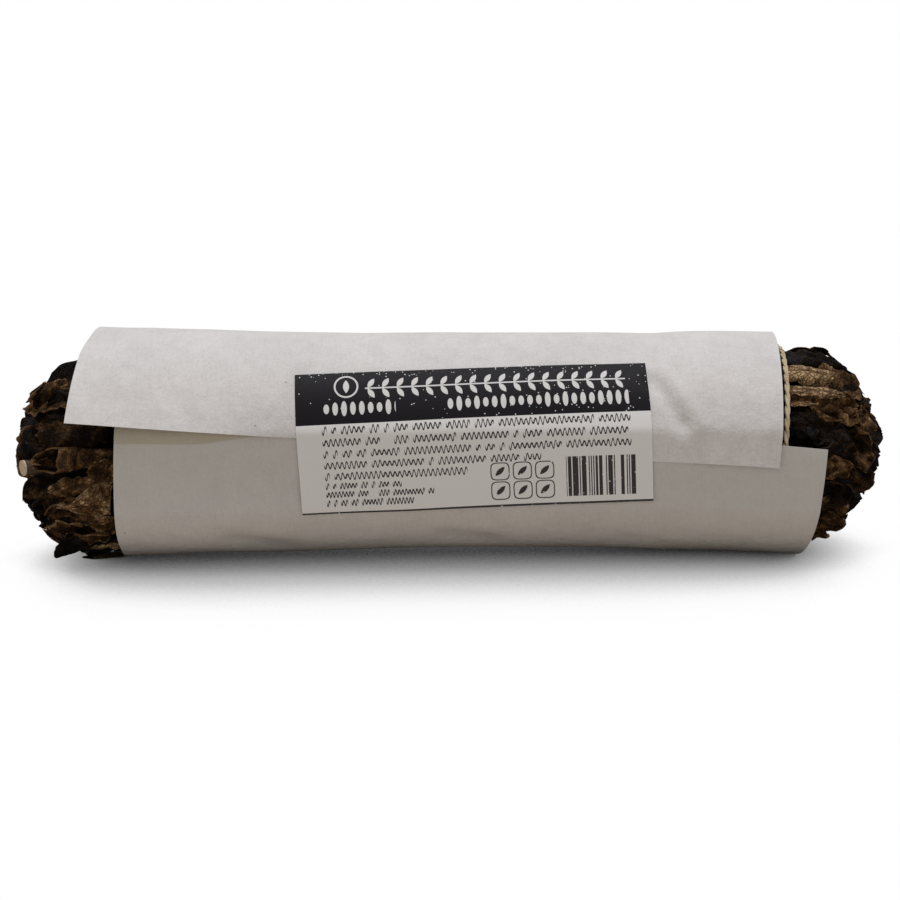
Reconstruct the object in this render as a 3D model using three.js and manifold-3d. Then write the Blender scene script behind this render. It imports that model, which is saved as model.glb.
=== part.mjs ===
// A dried herb smudge stick, lying on its side: leafy stems packed into a roll, bound with cotton
// twine, rolled in a sheet of paper that leaves both leafy ends bare, and closed with a label.
// Millimetres. +X runs along the stick, +Z is up, and the label faces -Y. The origin is the middle
// of the whole object's footprint, on the surface that it lies on.
import * as THREE from "three";
import { mergeVertices } from "three/addons/utils/BufferGeometryUtils.js";
import Module from "manifold-3d";

const wasm = await Module();
wasm.setup();

const degrees = Math.PI / 180;

// Driving dimensions
const stick = { halfLength: 75, radius: 16.05, bulge: 1.1, lumps: 0.5 };
const arch = { middle: 20, leftDrop: 4.1, rightDrop: 3.8 };
const sprigs = { around: 7, heartRadius: 4.2, gap: 0.3, swirl: 62 * degrees, start: -8 * degrees };
const stem = { radius: 1.3, ring: 10.2, sides: 6, steps: 5, inset: 1.2, rightEnd: 58 };
const blade = { thickness: 0.8, lengthSteps: 5, widthSteps: 2, tooth: 0.11 };
const twine = { radius: 0.55, ring: 17.1, left: -52.5, right: 57.2, turns: 5, turnSteps: 14, sides: 6 };
const sheet = {
  width: 116.2, length: 124.2, thickness: 0.35, gap: 0.3, skew: 3.6 * degrees,
  radius: 18.35, leftFlare: 3.3, rightFlare: 1.42, wrapRadius: 19.2,
  cornerX: 62.1, cornerAngle: 8.4 * degrees, middle: 19.95, leftDrop: 0.44, rightDrop: 2.2,
};
const flap = { reach: 15, lift: 3, pinnedX: -24, span: 38, rise: 30 };
const label = { width: 58, height: 24.2, thickness: 0.3, tilt: 2.2 * degrees, x: 4.4, angle: 13 * degrees };

const smooth = (low, high, value) => THREE.MathUtils.smoothstep(value, low, high);

// A repeatable stream of draws between 0 and 1.
function seeded(seed) {
  let state = seed >>> 0;
  return () => {
    state = (state + 0x6d2b79f5) >>> 0;
    let mixed = Math.imul(state ^ (state >>> 15), state | 1);
    mixed = (mixed + Math.imul(mixed ^ (mixed >>> 7), mixed | 61)) ^ mixed;
    return ((mixed ^ (mixed >>> 14)) >>> 0) / 4294967296;
  };
}

// Height of the bundle's axis above the surface: the stick is slightly arched.
function bundleAxis(x) {
  const share = Math.abs(x) / stick.halfLength;
  return arch.middle - (x < 0 ? arch.leftDrop : arch.rightDrop) * share ** 3;
}

// A point of the bundle from its place along the axis, its angle up from the front and its radius.
function onBundle(x, angle, radius) {
  return new THREE.Vector3(
    x,
    -radius * Math.cos(angle),
    bundleAxis(x) + radius * Math.sin(angle),
  );
}

// Outer radius of the leaves: tight under the paper, and swelling past the last turn of twine.
function bundleRadius(x) {
  const past = smooth(1.2, 5, x < 0 ? twine.left - x : x - twine.right);
  return stick.radius + stick.bulge * past;
}

// How far from the middle the leaf tips reach: each end is a blunt dome, fuller above than below.
function endReach(side, radius, angle) {
  const share = Math.min(1, radius / (stick.radius + stick.bulge));
  const below = 0.5 - 0.5 * Math.sin(angle);
  if (side < 0) return stick.halfLength - 7.5 * share ** 5 - 3 * share * below;
  return stick.halfLength - 8 * share ** 3 - 3.5 * share * below;
}

// Moves every vertex of a geometry by a rule and returns it with shared corners merged.
function shaped(geometry, place) {
  geometry.deleteAttribute("normal");
  geometry.deleteAttribute("uv");
  const position = geometry.getAttribute("position");
  const point = new THREE.Vector3();
  for (let i = 0; i < position.count; i++) {
    const moved = place(point.fromBufferAttribute(position, i));
    position.setXYZ(i, moved.x, moved.y, moved.z);
  }
  return mergeVertices(geometry, 1e-4);
}

function toSolid(geometry) {
  const made = new wasm.Manifold(
    new wasm.Mesh({
      numProp: 3,
      vertProperties: geometry.attributes.position.array,
      triVerts: new Uint32Array(geometry.index.array),
    }),
  );
  if (made.volume() > 0) return made;
  // A rule that mirrors leaves the faces pointing in, so each triangle is turned round.
  const turned = new Uint32Array(geometry.index.array);
  for (let i = 0; i < turned.length; i += 3) {
    [turned[i], turned[i + 1]] = [turned[i + 1], turned[i]];
  }
  const vertProperties = geometry.attributes.position.array;
  return new wasm.Manifold(new wasm.Mesh({ numProp: 3, vertProperties, triVerts: turned }));
}

// The largest connected body of a solid, so that a scrap cut loose by a neighbour is dropped.
function largestBody(solid) {
  const bodies = solid.decompose();
  return bodies.reduce((best, body) => (body.volume() > best.volume() ? body : best));
}

function toGeometry(solid) {
  const mesh = solid.getMesh();
  const geometry = new THREE.BufferGeometry();
  geometry.setAttribute("position", new THREE.BufferAttribute(mesh.vertProperties, 3));
  geometry.setIndex(new THREE.BufferAttribute(mesh.triVerts, 1));
  geometry.computeVertexNormals();
  return geometry;
}

// The packed leaves between the ends: a lumpy barrel that stops short of the leaf tips.
function packedCore() {
  const overhang = 4.5;
  const barrel = new THREE.CylinderGeometry(1, 1, 2, 21, 9, false);
  return toSolid(
    shaped(barrel, (p) => {
      const angle = Math.atan2(p.z, -p.x);
      const share = Math.min(1, Math.hypot(p.x, p.z));
      const side = Math.sign(p.y);
      const radius = share * (stick.radius - 0.2);
      const x = p.y * (endReach(side, radius, angle) - overhang);
      const lump = stick.lumps * share * Math.sin(5 * angle + x / 9) * Math.cos(3 * angle - x / 6);
      return onBundle(x, angle, radius - Math.abs(lump));
    }),
  );
}

// The room of one outer leafy stem: a sector with swirled walls, so that each overlaps the next.
function sprigRoom(index) {
  const outer = 24;
  const { around, heartRadius, gap, swirl, start } = sprigs;
  const wall = (turn, radius, side) =>
    start + (turn / around) * 2 * Math.PI + (swirl * radius) / stick.radius - (side * gap) / 2 / radius;
  const at = (angle, radius) => new THREE.Vector2(radius * Math.cos(angle), radius * Math.sin(angle));
  const radii = [heartRadius, 9, 13.5, outer];
  const inner = [2, 1].map((third) => at(wall(index + third / 3, heartRadius, 0), heartRadius));
  const rim = [1, 2].map((third) => at(wall(index + third / 3, outer, 0), outer));
  const outline = [
    ...radii.map((radius) => at(wall(index, radius, -1), radius)),
    ...rim,
    ...radii.toReversed().map((radius) => at(wall(index + 1, radius, 1), radius)),
    ...inner,
  ];
  const length = 2 * stick.halfLength + 10;
  const column = new THREE.ExtrudeGeometry(new THREE.Shape(outline), {
    depth: length,
    steps: 8,
    bevelEnabled: false,
  });
  return toSolid(
    shaped(column, (p) => {
      const x = p.z - length / 2;
      return onBundle(x, Math.atan2(p.y, p.x), Math.hypot(p.x, p.y));
    }),
  );
}

// The room of the middle leafy stem.
function heartRoom() {
  const length = 2 * stick.halfLength + 10;
  const column = new THREE.CylinderGeometry(1, 1, length, 14, 6, false);
  const radius = sprigs.heartRadius - sprigs.gap;
  return toSolid(
    shaped(column, (p) => {
      const share = Math.min(1, Math.hypot(p.x, p.z));
      return onBundle(p.y, Math.atan2(p.z, -p.x), share * radius);
    }),
  );
}

// Angle of a leafy stem's middle at a radius.
function sprigAngle(index, radius) {
  const turn = ((index + 0.5) / sprigs.around) * 2 * Math.PI;
  return sprigs.start + turn + (sprigs.swirl * radius) / stick.radius;
}

// Half-width of a leaf along its length, as a share of its widest, with coarse teeth.
function leafOutline(along) {
  const body = along < 0.4
    ? 0.7 + 0.3 * Math.sin((Math.PI / 2) * (along / 0.4))
    : Math.sqrt(1 - ((along - 0.4) / 0.7) ** 2);
  return body * (1 + blade.tooth * Math.cos(Math.PI * along * blade.lengthSteps));
}

// One dried leaf, laid along the bundle from its root towards a tip at one end.
// curl above 0 rolls its edges outwards, and tilt tucks one edge under the next leaf.
function leaf({ side, radius, angle, root, tip, width, yaw, curl, tilt, wave, phase, bend }) {
  const length = tip - root;
  const strip = new THREE.BoxGeometry(1, 2, 1, blade.lengthSteps, blade.widthSteps, 1);
  return toSolid(
    shaped(strip, (p) => {
      const along = p.x + 0.5;
      const half = (width / 2) * leafOutline(along);
      const roll = curl * p.y;
      const spread = Math.abs(curl) < 0.05 ? 1 : Math.sin(roll) / roll || 1;
      const thick = p.z * blade.thickness;
      const across = half * p.y * spread - thick * Math.sin(roll) + length * along * Math.sin(yaw);
      const cup = Math.abs(curl) < 0.05 ? 0 : (half * (1 - Math.cos(roll))) / curl;
      const ripple = wave * Math.sin(9 * along + phase) * (0.4 + 0.6 * p.y * p.y);
      const nod = bend * Math.max(0, along - 0.55) ** 2;
      const x = side * (root + length * along * Math.cos(yaw));
      const swell = radius > stick.radius - 2 ? bundleRadius(x) - stick.radius : 0;
      const middle = radius + swell + cup + ripple + tilt * p.y - nod;
      const under = bundleRadius(x) - blade.thickness / 2;
      const height = THREE.MathUtils.clamp(middle, 1, under) + thick * Math.cos(roll);
      return onBundle(x, angle + across / Math.max(radius, 5), height);
    }),
  );
}

// The leaves of one outer leafy stem at one end: two in the skin, and two in layers under them.
function sprigLeaves(index, side) {
  const draw = seeded(101 + 10 * index + side);
  const vary = (middle, spread) => middle + spread * (2 * draw() - 1);
  const layers = [
    { radius: stick.radius - 0.4, turns: [-0.27, 0.23], width: 12, root: 18 },
    { radius: 11.8, turns: [0.02], width: 12, root: 13 },
    { radius: 7.6, turns: [0.1], width: 9, root: 12 },
  ];
  return layers.flatMap(({ radius, turns, width, root }) =>
    turns.map((turn) => {
      const angle = sprigAngle(index + turn, radius);
      const reach = endReach(side, radius, angle) + vary(-0.6, 1.2);
      return leaf({
        side,
        radius,
        angle,
        root: reach - root,
        tip: reach,
        width: vary(width, 1.5),
        yaw: vary(0, 0.12),
        curl: vary(0, 0.8),
        tilt: vary(0.55, 0.2),
        wave: vary(0.4, 0.2),
        phase: vary(3, 3),
        bend: vary(5, 4),
      });
    }),
  );
}

// The leaves of the middle stem at one end, standing round it.
function heartLeaves(side) {
  const draw = seeded(900 + side);
  return [0, 1, 2].map((turn) =>
    leaf({
      side,
      radius: 2.4,
      angle: (turn * 2 * Math.PI) / 3 + draw(),
      root: stick.halfLength - 14,
      tip: stick.halfLength - 0.8 * turn,
      width: 6,
      yaw: 0,
      curl: 0.3,
      tilt: 0.4,
      wave: 0.2,
      phase: turn,
      bend: 3,
    }),
  );
}

// A woody stem, or the plain hole that it lies in. Its cut end shows among the left leaves.
function stemRod(index, radius) {
  const inHeart = index === sprigs.around;
  const ring = inHeart ? 0 : stem.ring;
  const left = stem.inset - endReach(-1, ring, 0) - (radius > stem.radius ? 3 : 0);
  const right = stem.rightEnd + (radius > stem.radius ? sprigs.gap : 0);
  const rod = new THREE.CylinderGeometry(1, 1, 1, stem.sides, stem.steps, false);
  return toSolid(
    shaped(rod, (p) => {
      const x = left + (p.y + 0.5) * (right - left);
      const middle = onBundle(x, inHeart ? 0 : sprigAngle(index, ring), ring);
      return middle.add(new THREE.Vector3(0, p.x * radius, p.z * radius));
    }),
  );
}

// The leaf mass of one leafy stem: its share of the packed core with its leaves at both ends.
function leafMass(index, core) {
  const inHeart = index === sprigs.around;
  const room = inHeart ? heartRoom() : sprigRoom(index);
  const leaves = [-1, 1].flatMap((side) => (inHeart ? heartLeaves(side) : sprigLeaves(index, side)));
  const grown = leaves.reduce((sum, one) => sum.add(one), core);
  return largestBody(grown.intersect(room).subtract(stemRod(index, stem.radius + sprigs.gap)));
}

// One strand of twine, wound along the bundle. The two strands cross at every half turn.
class TwineStrand extends THREE.Curve {
  constructor(direction) {
    super();
    this.direction = direction;
  }

  getPoint(share) {
    const middle = (twine.left + twine.right) / 2;
    const half = (twine.right - twine.left) / 2;
    const eased = 0.3 * (2 * share - 1) - 0.7 * Math.cos(Math.PI * share);
    const angle = this.direction * twine.turns * 2 * Math.PI * (1 - share) + 80 * degrees;
    return onBundle(middle + half * eased, angle, twine.ring);
  }
}

function twineBinding() {
  const section = new THREE.Shape(
    Array.from({ length: twine.sides }, (_, i) => {
      const angle = (i / twine.sides) * 2 * Math.PI;
      return new THREE.Vector2(twine.radius * Math.cos(angle), twine.radius * Math.sin(angle));
    }),
  );
  const strands = [-1, 1].map((direction) => {
    const extrudePath = new TwineStrand(direction);
    const tube = new THREE.ExtrudeGeometry(section, { steps: twine.turns * twine.turnSteps, extrudePath });
    return toSolid(shaped(tube, (p) => p));
  });
  return largestBody(strands[0].add(strands[1]));
}

// Height of the rolled sheet's axis, and its outer radius: it flares to a foot at each end.
function sheetAxis(x) {
  const share = x / stick.halfLength;
  return sheet.middle - (x < 0 ? sheet.leftDrop : sheet.rightDrop) * share * share;
}

function sheetRadius(x) {
  const share = x / stick.halfLength;
  return sheet.radius + (x < 0 ? sheet.leftFlare : sheet.rightFlare) * share * share;
}

// A point of the rolled paper from its place along the stick, the angle that it has been rolled
// down from its inner edge's right corner, and its height above the sheet's outer face.
function onSheet(x, angle, height) {
  const radius = sheetRadius(x) + height;
  return new THREE.Vector3(
    x,
    -radius * Math.cos(angle),
    sheetAxis(x) + radius * Math.sin(angle),
  );
}

// How far the outer turn stands above the inner one, near the sheet's outer edge.
function flapRise(x, toEdge) {
  const step = (sheet.thickness + sheet.gap) * smooth(-flap.rise, -7, -toEdge);
  const loose = Math.max(0, (flap.pinnedX - x) / flap.span);
  const free = Math.max(0, 1 - toEdge / flap.reach);
  return step + flap.lift * loose * free * free;
}

// The paper: one flat rectangle, rolled a little askew, so that its edges step past each other.
function paperSheet() {
  const across = 14;
  const around = 40;
  const flat = new THREE.BoxGeometry(2, 1, 1, across, around, 1);
  return shaped(flat, (p) => {
    const spaced = 1.35 * p.x - 0.35 * p.x ** 3; // the ends, where the feet are, get closer rows
    const fromCorner = (sheet.width * (1 - spaced)) / 2;
    const rolled = sheet.length * (0.5 - p.y);
    const { skew } = sheet;
    const x = sheet.cornerX - fromCorner * Math.cos(skew) - rolled * Math.sin(skew);
    const arc = rolled * Math.cos(skew) - fromCorner * Math.sin(skew);
    const angle = sheet.cornerAngle - arc / sheet.wrapRadius;
    const outside = (p.z - 0.5) * sheet.thickness;
    const point = onSheet(x, angle, outside + flapRise(x, sheet.length - rolled));
    point.z = Math.max(point.z, -outside); // flat on the surface where it sags
    return point;
  });
}

// The label lies over the outer turn, the sheet's edge and the inner turn, and pins the edge down.
function paperLabel() {
  const across = 10;
  const down = 9;
  const flat = new THREE.BoxGeometry(1, 1, 1, across, down, 1);
  return shaped(flat, (p) => {
    const right = p.x * label.width;
    const up = p.y * label.height;
    const x = label.x + right * Math.cos(label.tilt) - up * Math.sin(label.tilt);
    const arc = right * Math.sin(label.tilt) + up * Math.cos(label.tilt);
    const angle = label.angle + arc / sheetRadius(x);
    const above = sheet.thickness + 2 * sheet.gap + (p.z + 0.5) * label.thickness;
    return onSheet(x, angle, above);
  });
}

const finishes = {
  leaves: new THREE.MeshStandardMaterial({ color: 0x3a2a1c, roughness: 0.7, metalness: 0 }),
  stem: new THREE.MeshStandardMaterial({ color: 0xa8906a, roughness: 0.85, metalness: 0 }),
  twine: new THREE.MeshStandardMaterial({ color: 0xc9b78f, roughness: 0.9, metalness: 0 }),
  paper: new THREE.MeshStandardMaterial({ color: 0xd9d5d3, roughness: 0.9, metalness: 0 }),
  label: new THREE.MeshStandardMaterial({ color: 0xdedddd, roughness: 0.5, metalness: 0 }),
};

const smudgeStick = new THREE.Group();

function addPiece(name, geometry, finish) {
  const mesh = new THREE.Mesh(geometry, finishes[finish]);
  mesh.name = name;
  smudgeStick.add(mesh);
}

const core = packedCore();
for (let index = 0; index <= sprigs.around; index++) {
  addPiece(`leaves_${index + 1}`, toGeometry(leafMass(index, core)), "leaves");
  addPiece(`stem_${index + 1}`, toGeometry(stemRod(index, stem.radius)), "stem");
}
addPiece("twine", toGeometry(twineBinding()), "twine");
addPiece("paper_sheet", paperSheet(), "paper");
addPiece("paper_label", paperLabel(), "label");

const box = new THREE.Box3().setFromObject(smudgeStick);
const middle = box.getCenter(new THREE.Vector3());
smudgeStick.position.set(-middle.x, -middle.y, -box.min.z);

export default smudgeStick;
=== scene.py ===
from functools import partialmethod
from math import atan2, cos, degrees, exp, hypot, pi, radians, sin, sqrt
import bpy
import bmesh
from mathutils import Matrix, Vector, noise


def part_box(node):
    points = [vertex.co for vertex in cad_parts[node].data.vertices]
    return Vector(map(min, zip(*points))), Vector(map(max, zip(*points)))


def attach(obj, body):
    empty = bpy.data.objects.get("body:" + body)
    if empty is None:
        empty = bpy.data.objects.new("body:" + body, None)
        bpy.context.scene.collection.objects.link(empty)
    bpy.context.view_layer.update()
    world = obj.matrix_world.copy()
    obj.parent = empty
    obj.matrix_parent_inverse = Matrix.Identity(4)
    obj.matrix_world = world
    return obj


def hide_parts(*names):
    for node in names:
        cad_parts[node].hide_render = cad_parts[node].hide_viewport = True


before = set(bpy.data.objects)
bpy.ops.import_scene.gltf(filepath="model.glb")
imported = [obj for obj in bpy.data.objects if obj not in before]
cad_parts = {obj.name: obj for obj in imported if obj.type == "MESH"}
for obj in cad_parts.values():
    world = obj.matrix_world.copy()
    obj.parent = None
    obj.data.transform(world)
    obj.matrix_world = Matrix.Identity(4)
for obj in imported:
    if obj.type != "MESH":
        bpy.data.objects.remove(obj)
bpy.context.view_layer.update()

# The stick's own measures, in millimetres. Angles run up from the front, which faces the camera.
millimetre = 0.001
stick = {
    "halfLength": 75, "radius": 16.05, "bulge": 1.1,
    "middle": 20, "leftDrop": 4.1, "rightDrop": 3.8,
}
crispAngle = 1  # edges that turn by more than this, in radians, stay crisp
heartLow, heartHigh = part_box("stem_8")  # the middle stem, which runs along the bundle's axis
shift = Vector((0, (heartLow.y + heartHigh.y) / 2, 0)) / millimetre


def smooth(low, high, value):
    share = min(1, max(0, (value - low) / (high - low)))
    return share * share * (3 - 2 * share)


# a small seeded generator of values from 0 to 1, the same as the one that shapes the solids
def seeded(seed):
    state = seed
    mask = 0xFFFFFFFF

    def draw():
        nonlocal state
        state = (state + 0x6D2B79F5) & mask
        mixed = ((state ^ (state >> 15)) * (state | 1)) & mask
        mixed ^= (mixed + (((mixed ^ (mixed >> 7)) * (mixed | 61)) & mask)) & mask
        return ((mixed ^ (mixed >> 14)) & mask) / 2**32

    return draw


def bundleAxis(x):
    share = abs(x) / stick["halfLength"]
    return stick["middle"] - stick["leftDrop" if x < 0 else "rightDrop"] * share**3


def onBundle(x, angle, radius):
    return Vector((x, -radius * cos(angle), bundleAxis(x) + radius * sin(angle)))


# from 0 to 180 degrees between an angle in radians and a direction in degrees
def degreesApart(angle, direction):
    return abs((degrees(angle) - direction + 180) % 360 - 180)


# noise that closes up round the stick or a stem
def ringNoise(along, angle, size, start=0):
    return noise.noise(Vector((along, cos(angle) * size, sin(angle) * size + start)))


def addObject(name, data):
    made = bpy.data.objects.new(name, data)
    bpy.context.scene.collection.objects.link(made)
    return made


def meshObject(name, bm, material):
    mesh = bpy.data.meshes.new(name)
    bm.to_mesh(mesh)
    bm.free()
    mesh.materials.append(material)
    return addObject(name, mesh)


# A finished mesh goes to its place in the frame, in metres, and stands for its node of the solids.
def finishPiece(name, bm, material, replaces):
    for vertex in bm.verts:
        vertex.co = (vertex.co + shift) * millimetre
        vertex.co.z = max(vertex.co.z, 0)
    for face in bm.faces:
        face.smooth = True
    for edge in bm.edges:
        edge.smooth = edge.calc_face_angle(0) < crispAngle
    piece = meshObject(name, bm, material)
    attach(piece, "root")
    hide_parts(*replaces)


# Shader maths: a wrapped socket, so that a pattern is written as an expression.
class Wire:
    def __init__(self, paint, socket):
        self.paint = paint
        self.socket = socket

    def maths(self, operation, *values):
        return self.paint.add("ShaderNodeMath", {"operation": operation}, dict(enumerate(values)))

    def applied(self, operation, *others):
        return self.maths(operation, self, *others)

    def __rsub__(self, other):
        return self.maths("SUBTRACT", other, self)

    __add__ = __radd__ = partialmethod(applied, "ADD")
    __sub__ = partialmethod(applied, "SUBTRACT")
    __mul__ = __rmul__ = partialmethod(applied, "MULTIPLY")
    __truediv__ = partialmethod(applied, "DIVIDE")
    __pow__ = partialmethod(applied, "POWER")
    __mod__ = partialmethod(applied, "FLOORED_MODULO")
    __gt__ = partialmethod(applied, "GREATER_THAN")
    __lt__ = partialmethod(applied, "LESS_THAN")
    __abs__ = partialmethod(applied, "ABSOLUTE")
    floor = partialmethod(applied, "FLOOR")
    sine = partialmethod(applied, "SINE")
    most = partialmethod(applied, "MAXIMUM")

    def ramp(self, low, high, start=0.0, end=1.0):
        settings = {"interpolation_type": "SMOOTHSTEP"}
        inputs = {"Value": self, "From Min": low, "From Max": high, "To Min": start, "To Max": end}
        return self.paint.add("ShaderNodeMapRange", settings, inputs)


# A material whose shader and other nodes are fed by name or number.
class Paint:
    def __init__(self, name, **fixed):
        self.material = bpy.data.materials.new(name)
        self.material.use_nodes = True
        self.nodes = self.material.node_tree.nodes
        self.links = self.material.node_tree.links
        self.finish(**fixed)

    def feed(self, socket, value):
        if isinstance(value, Wire):
            self.links.new(value.socket, socket)
        elif isinstance(value, tuple) and socket.type == "RGBA":
            socket.default_value = (*value, 1)
        else:
            socket.default_value = value

    # a node of any type: its settings first, a ramp's stops among them, then its sockets
    def add(self, kind, settings=None, inputs=None, out=0):
        node = self.nodes.new(kind)
        settings = dict(settings or {})
        for i, (position, color) in enumerate(settings.pop("stops", [])):
            elements = node.color_ramp.elements
            stop = elements[i] if i < len(elements) else elements.new(position)
            stop.position = position
            stop.color = (*color, 1)
        for name, value in settings.items():
            setattr(node, name, value)
        for socket, value in (inputs or {}).items():
            self.feed(node.inputs[socket], value)
        return Wire(self, node.outputs[out])

    # a Mix node's sockets have the same names for each type of value, so they go by number
    def blend(self, amount, first, second):
        return self.add("ShaderNodeMix", {"data_type": "RGBA"}, {0: amount, 6: first, 7: second}, 2)

    def blendPlace(self, amount, first, second):
        return self.add("ShaderNodeMix", {"data_type": "VECTOR"}, {0: amount, 4: first, 5: second}, 1)

    # one of the piece's own maps, or the place in the frame, in millimetres
    def coordinates(self, name=None):
        if name:
            return self.add("ShaderNodeUVMap", {"uv_map": name})
        place = self.add("ShaderNodeTexCoord", out="Object")
        settings = {"operation": "SCALE"}
        return self.add("ShaderNodeVectorMath", settings, {0: place, "Scale": 1 / millimetre})

    def attribute(self, name, out):
        return self.add("ShaderNodeAttribute", {"attribute_name": name}, out=out)

    def split(self, vector):
        parts = self.add("ShaderNodeSeparateXYZ", {}, {0: vector})
        return [Wire(self, output) for output in parts.socket.node.outputs]

    def join(self, first, second, third=0.0):
        return self.add("ShaderNodeCombineXYZ", {}, {0: first, 1: second, 2: third})

    def stretch(self, vector, scale):
        return self.add("ShaderNodeMapping", {}, {"Vector": vector, "Scale": scale})

    def colors(self, amount, stops):
        return self.add("ShaderNodeValToRGB", {"stops": stops}, {0: amount})

    def grain(self, vector, scale, detail=2.0, roughness=0.5):
        inputs = {"Vector": vector, "Scale": scale, "Detail": detail, "Roughness": roughness}
        return self.add("ShaderNodeTexNoise", {}, inputs)

    def cells(self, vector, scale, out="Distance", **settings):
        return self.add("ShaderNodeTexVoronoi", settings, {"Vector": vector, "Scale": scale}, out)

    def bumps(self, height, distance, strength=1.0, under=None):
        inputs = {"Height": height, "Distance": distance * millimetre, "Strength": strength}
        if under:
            inputs["Normal"] = under
        return self.add("ShaderNodeBump", {}, inputs)

    def finish(self, **values):
        shader = self.nodes["Principled BSDF"]
        for socket, value in values.items():
            self.feed(shader.inputs[socket.replace("_", " ")], value)
        return self.material


# Camera: from the front, a little above, at the distance that the paper's perspective gives.
view = {
    "distance": 300, "elevation": 12, "aim": (0.4, 0, 18.0), "lens": 68.8, "roll": -0.7,
    "near": 0.01,
}


def makeCamera():
    data = bpy.data.cameras.new("camera")
    data.lens = view["lens"]
    data.clip_start = view["near"]
    camera = addObject("camera", data)
    lift = radians(view["elevation"])
    back = Vector((0, -cos(lift), sin(lift)))
    camera.location = (Vector(view["aim"]) + shift + back * view["distance"]) * millimetre
    level = Matrix.Rotation(pi / 2 - lift, 3, "X")
    camera.rotation_euler = (level @ Matrix.Rotation(radians(view["roll"]), 3, "Z")).to_euler()
    bpy.context.scene.camera = camera


# A broad high light, even light from all round, a white sweep that only the camera sees, and a
# floor under it that only the object sees, which glows to light the object from below, a painted light,
# and is dim right under the roll, a painted shade.
studio = {
    "sky": 0.53, "high": 2.05, "highElevation": 88, "highAngle": 6,
    "floor": 0.3, "rimSteps": 64, "sweep": 4, "sweepDepth": 0.1,
    "shade": 0.04, "shadeSamples": 8, "shadeLight": 1.02, "core": (0.5, 0.72), "coreLight": 0.2,
    "endsFrom": (55, 75), "endsLight": 0.22, "longer": 40, "whiteFrom": (80, 120),
    "returnDepth": 0.2, "returnGlow": 0.16, "underStrip": (9, 22),
    "floorReturn": (1.0, 0.9, 0.78), "underReturn": (0.28, 0.25, 0.21),
}


def addFloor(name, depth, wall, **finish):
    bm = bmesh.new()
    bmesh.ops.create_circle(bm, cap_ends=True, segments=studio["rimSteps"], radius=studio["floor"])
    wide = studio["sweep"] / studio["floor"]
    for scale, rise in [(wide, 0), (1, wall)]:
        edges = [edge for edge in bm.edges if edge.is_boundary]
        rim = bmesh.ops.extrude_edge_only(bm, edges=edges)
        outer = [part for part in rim["geom"] if isinstance(part, bmesh.types.BMVert)]
        bmesh.ops.scale(bm, verts=outer, vec=(scale, scale, 1))
        bmesh.ops.translate(bm, verts=outer, vec=(0, 0, rise))
    paint = Paint(name, Roughness=1.0, Specular_IOR_Level=0.0, **finish)
    floor = meshObject(name, bm, paint.material)
    floor.location.z = -depth * millimetre
    return floor, paint


def makeStudio():
    scene = bpy.context.scene
    scene.view_settings.view_transform = "Standard"
    scene.world = bpy.data.worlds.new("studio")
    scene.world.use_nodes = True
    background = scene.world.node_tree.nodes["Background"]
    background.inputs["Color"].default_value = (1, 1, 1, 1)
    background.inputs["Strength"].default_value = studio["sky"]
    light = bpy.data.lights.new("highLight", "SUN")
    light.energy = studio["high"]
    light.angle = radians(studio["highAngle"])
    high = addObject("highLight", light)
    high.rotation_euler = (radians(90 - studio["highElevation"]), 0, 0)
    # the white sweep glows evenly, with a painted shadow close under the object, drawn from ambient
    # occlusion and paler past the object's ends
    finish = {"Base_Color": (0, 0, 0), "Emission_Strength": 1.0}
    seen, white = addFloor("whiteSweep", studio["sweepDepth"], studio["sweep"], **finish)
    seen.visible_diffuse = False
    seen.visible_glossy = False
    white.material.cycles.emission_sampling = "NONE"
    settings = {"samples": studio["shadeSamples"]}
    near = white.add("ShaderNodeAmbientOcclusion", settings, {"Distance": studio["shade"]}, "AO")
    along, across, _ = white.split(white.coordinates())
    far = (abs(along) - studio["longer"]).most(abs(across)).ramp(*studio["whiteFrom"])
    lit = near * studio["shadeLight"] + near.ramp(*studio["core"]) * studio["coreLight"]
    lit = lit + abs(along).ramp(*studio["endsFrom"]) * studio["endsLight"] + far
    white.finish(Emission_Color=white.blend(lit, (0, 0, 0), (1, 1, 1)))
    # the floor that only the object sees: its glow is a painted light on the object from below, and its
    # darker strip right under the roll a painted shade
    finish = {"Emission_Strength": studio["returnGlow"]}
    returning, pale = addFloor("floorReturn", studio["returnDepth"], 0, **finish)
    beside = abs(pale.split(pale.coordinates())[1]).ramp(*studio["underStrip"])
    pale.finish(
        Base_Color=pale.blend(beside, studio["underReturn"], studio["floorReturn"]),
        Emission_Color=pale.blend(beside, (0, 0, 0), studio["floorReturn"]),
    )
    returning.visible_camera = False
    print("studio made")


# Leaf finish: dark resinous upper sides, tan net-veined undersides, lighter along the margins and on
# the crumples' ridges, partly their own paler colour and partly a painted highlight, and darker in the
# folds, a painted shade.
leafFinish = {
    "tones": [
        (0.0, (0.003, 0.0022, 0.0016)),
        (0.3, (0.014, 0.0073, 0.0035)),
        (0.55, (0.06, 0.031, 0.013)),
        (0.78, (0.16, 0.088, 0.038)),
        (1.0, (0.42, 0.28, 0.155)),
    ],
    "paintedSheen": (0.014, 0.014, 0.0158), "paintedSheenPatches": (0.5, 0.62), "paintedSheenTones": (0.25, 0.1),
    "vein": (0.03, 0.014, 0.007), "veinTones": (0.3, 0.9, 0.12, 0.62),
    "netCell": 0.62, "netWidth": 0.15, "netWander": 0.12,
    "ribGap": 1.9, "ribWidth": (0.05, 0.3), "midrib": (0.1, 0.4),
    "patches": 0.32, "specks": 1.6, "uneven": 0.75, "rimAndRidgeLightening": 0.42, "rimAndRidgeMiddle": 0.33,
    "roughness": 0.42, "relief": 0.34,
}


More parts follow.
